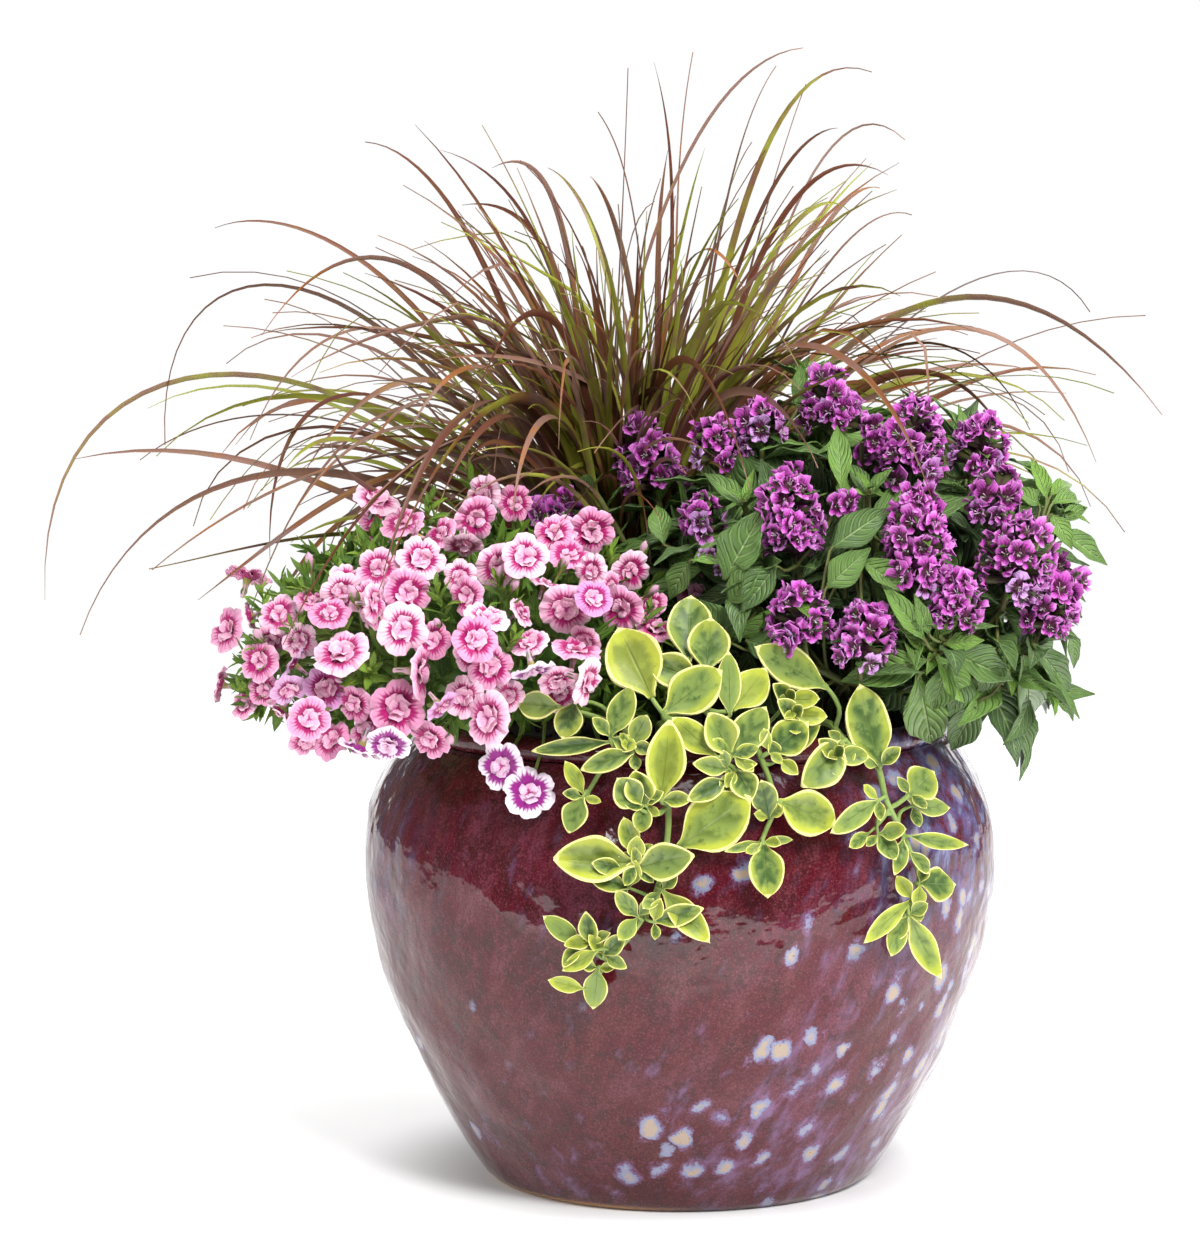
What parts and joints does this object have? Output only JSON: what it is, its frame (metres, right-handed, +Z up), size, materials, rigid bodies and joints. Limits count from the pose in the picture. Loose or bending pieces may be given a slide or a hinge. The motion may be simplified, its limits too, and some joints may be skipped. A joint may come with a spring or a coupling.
{
  "type": "potted cuphea mixed planter",
  "caption": "Glazed belly pot of soil with a purple-flowered cuphea, pink double calibrachoa, variegated trailing dew plant and purple fountain grass.",
  "frame": {"origin": "centre of the pot's flat foot, on the surface the planter stands on", "axes": "+Z up along the pot's axis, -Y towards the viewer of the planted front, +X to that viewer's right"},
  "size_m": [0.6627, 0.5233, 0.6791],
  "materials": {
    "glaze": "glossy oxblood glaze over ceramic, mottled with purple blue and pale blue-ringed spots",
    "soil": "dark crumbly potting soil",
    "dew_plant": "fleshy grey-green leaves with creamy yellow margins",
    "calibrachoa_flower": "soft pink double petals with a magenta eye",
    "calibrachoa_leaf": "small soft green leaves",
    "cuphea_leaf": "dark green leaves with a satin sheen and sunken veins",
    "cuphea_flower": "ruffled purple petals with darker hearts",
    "grass": "burgundy brown blades, some olive green"
  },
  "bodies": {
    "root": {"pot": "glaze", "soil": "soil", "dew_plant_trail_1": "dew_plant", "dew_plant_trail_2": "dew_plant", "dew_plant_trail_3": "dew_plant", "dew_plant_trail_4": "dew_plant", "dew_plant_trail_5": "dew_plant", "dew_plant_trail_6": "dew_plant", "calibrachoa_blooms_01": "calibrachoa_flower", "calibrachoa_blooms_02": "calibrachoa_flower", "calibrachoa_blooms_03": "calibrachoa_flower", "calibrachoa_blooms_04": "calibrachoa_flower", "calibrachoa_blooms_05": "calibrachoa_flower", "calibrachoa_blooms_06": "calibrachoa_flower", "calibrachoa_blooms_07": "calibrachoa_flower", "calibrachoa_blooms_08": "calibrachoa_flower", "calibrachoa_blooms_09": "calibrachoa_flower", "calibrachoa_blooms_10": "calibrachoa_flower", "calibrachoa_blooms_11": "calibrachoa_flower", "calibrachoa_blooms_12": "calibrachoa_flower", "calibrachoa_blooms_13": "calibrachoa_flower", "calibrachoa_blooms_14": "calibrachoa_flower", "calibrachoa_blooms_15": "calibrachoa_flower", "calibrachoa_blooms_16": "calibrachoa_flower", "calibrachoa_blooms_17": "calibrachoa_flower", "calibrachoa_blooms_18": "calibrachoa_flower", "calibrachoa_blooms_19": "calibrachoa_flower", "calibrachoa_blooms_20": "calibrachoa_flower", "calibrachoa_blooms_21": "calibrachoa_flower", "calibrachoa_blooms_22": "calibrachoa_flower", "calibrachoa_blooms_23": "calibrachoa_flower", "calibrachoa_blooms_24": "calibrachoa_flower", "calibrachoa_foliage": "calibrachoa_leaf", "cuphea_stem_1": "cuphea_leaf", "cuphea_stem_2": "cuphea_leaf", "cuphea_stem_3": "cuphea_leaf", "cuphea_stem_4": "cuphea_leaf", "cuphea_stem_5": "cuphea_leaf", "cuphea_stem_6": "cuphea_leaf", "cuphea_stem_7": "cuphea_leaf", "cuphea_stem_8": "cuphea_leaf", "cuphea_head_01": "cuphea_flower", "cuphea_head_02": "cuphea_flower", "cuphea_head_03": "cuphea_flower", "cuphea_head_04": "cuphea_flower", "cuphea_head_05": "cuphea_flower", "cuphea_head_06": "cuphea_flower", "cuphea_head_07": "cuphea_flower", "cuphea_head_08": "cuphea_flower", "cuphea_head_09": "cuphea_flower", "cuphea_head_10": "cuphea_flower", "cuphea_head_11": "cuphea_flower", "cuphea_head_12": "cuphea_flower", "cuphea_head_13": "cuphea_flower", "cuphea_head_14": "cuphea_flower", "cuphea_head_15": "cuphea_flower", "cuphea_head_16": "cuphea_flower", "fountain_grass": "grass"}
  },
  "joints": []
}
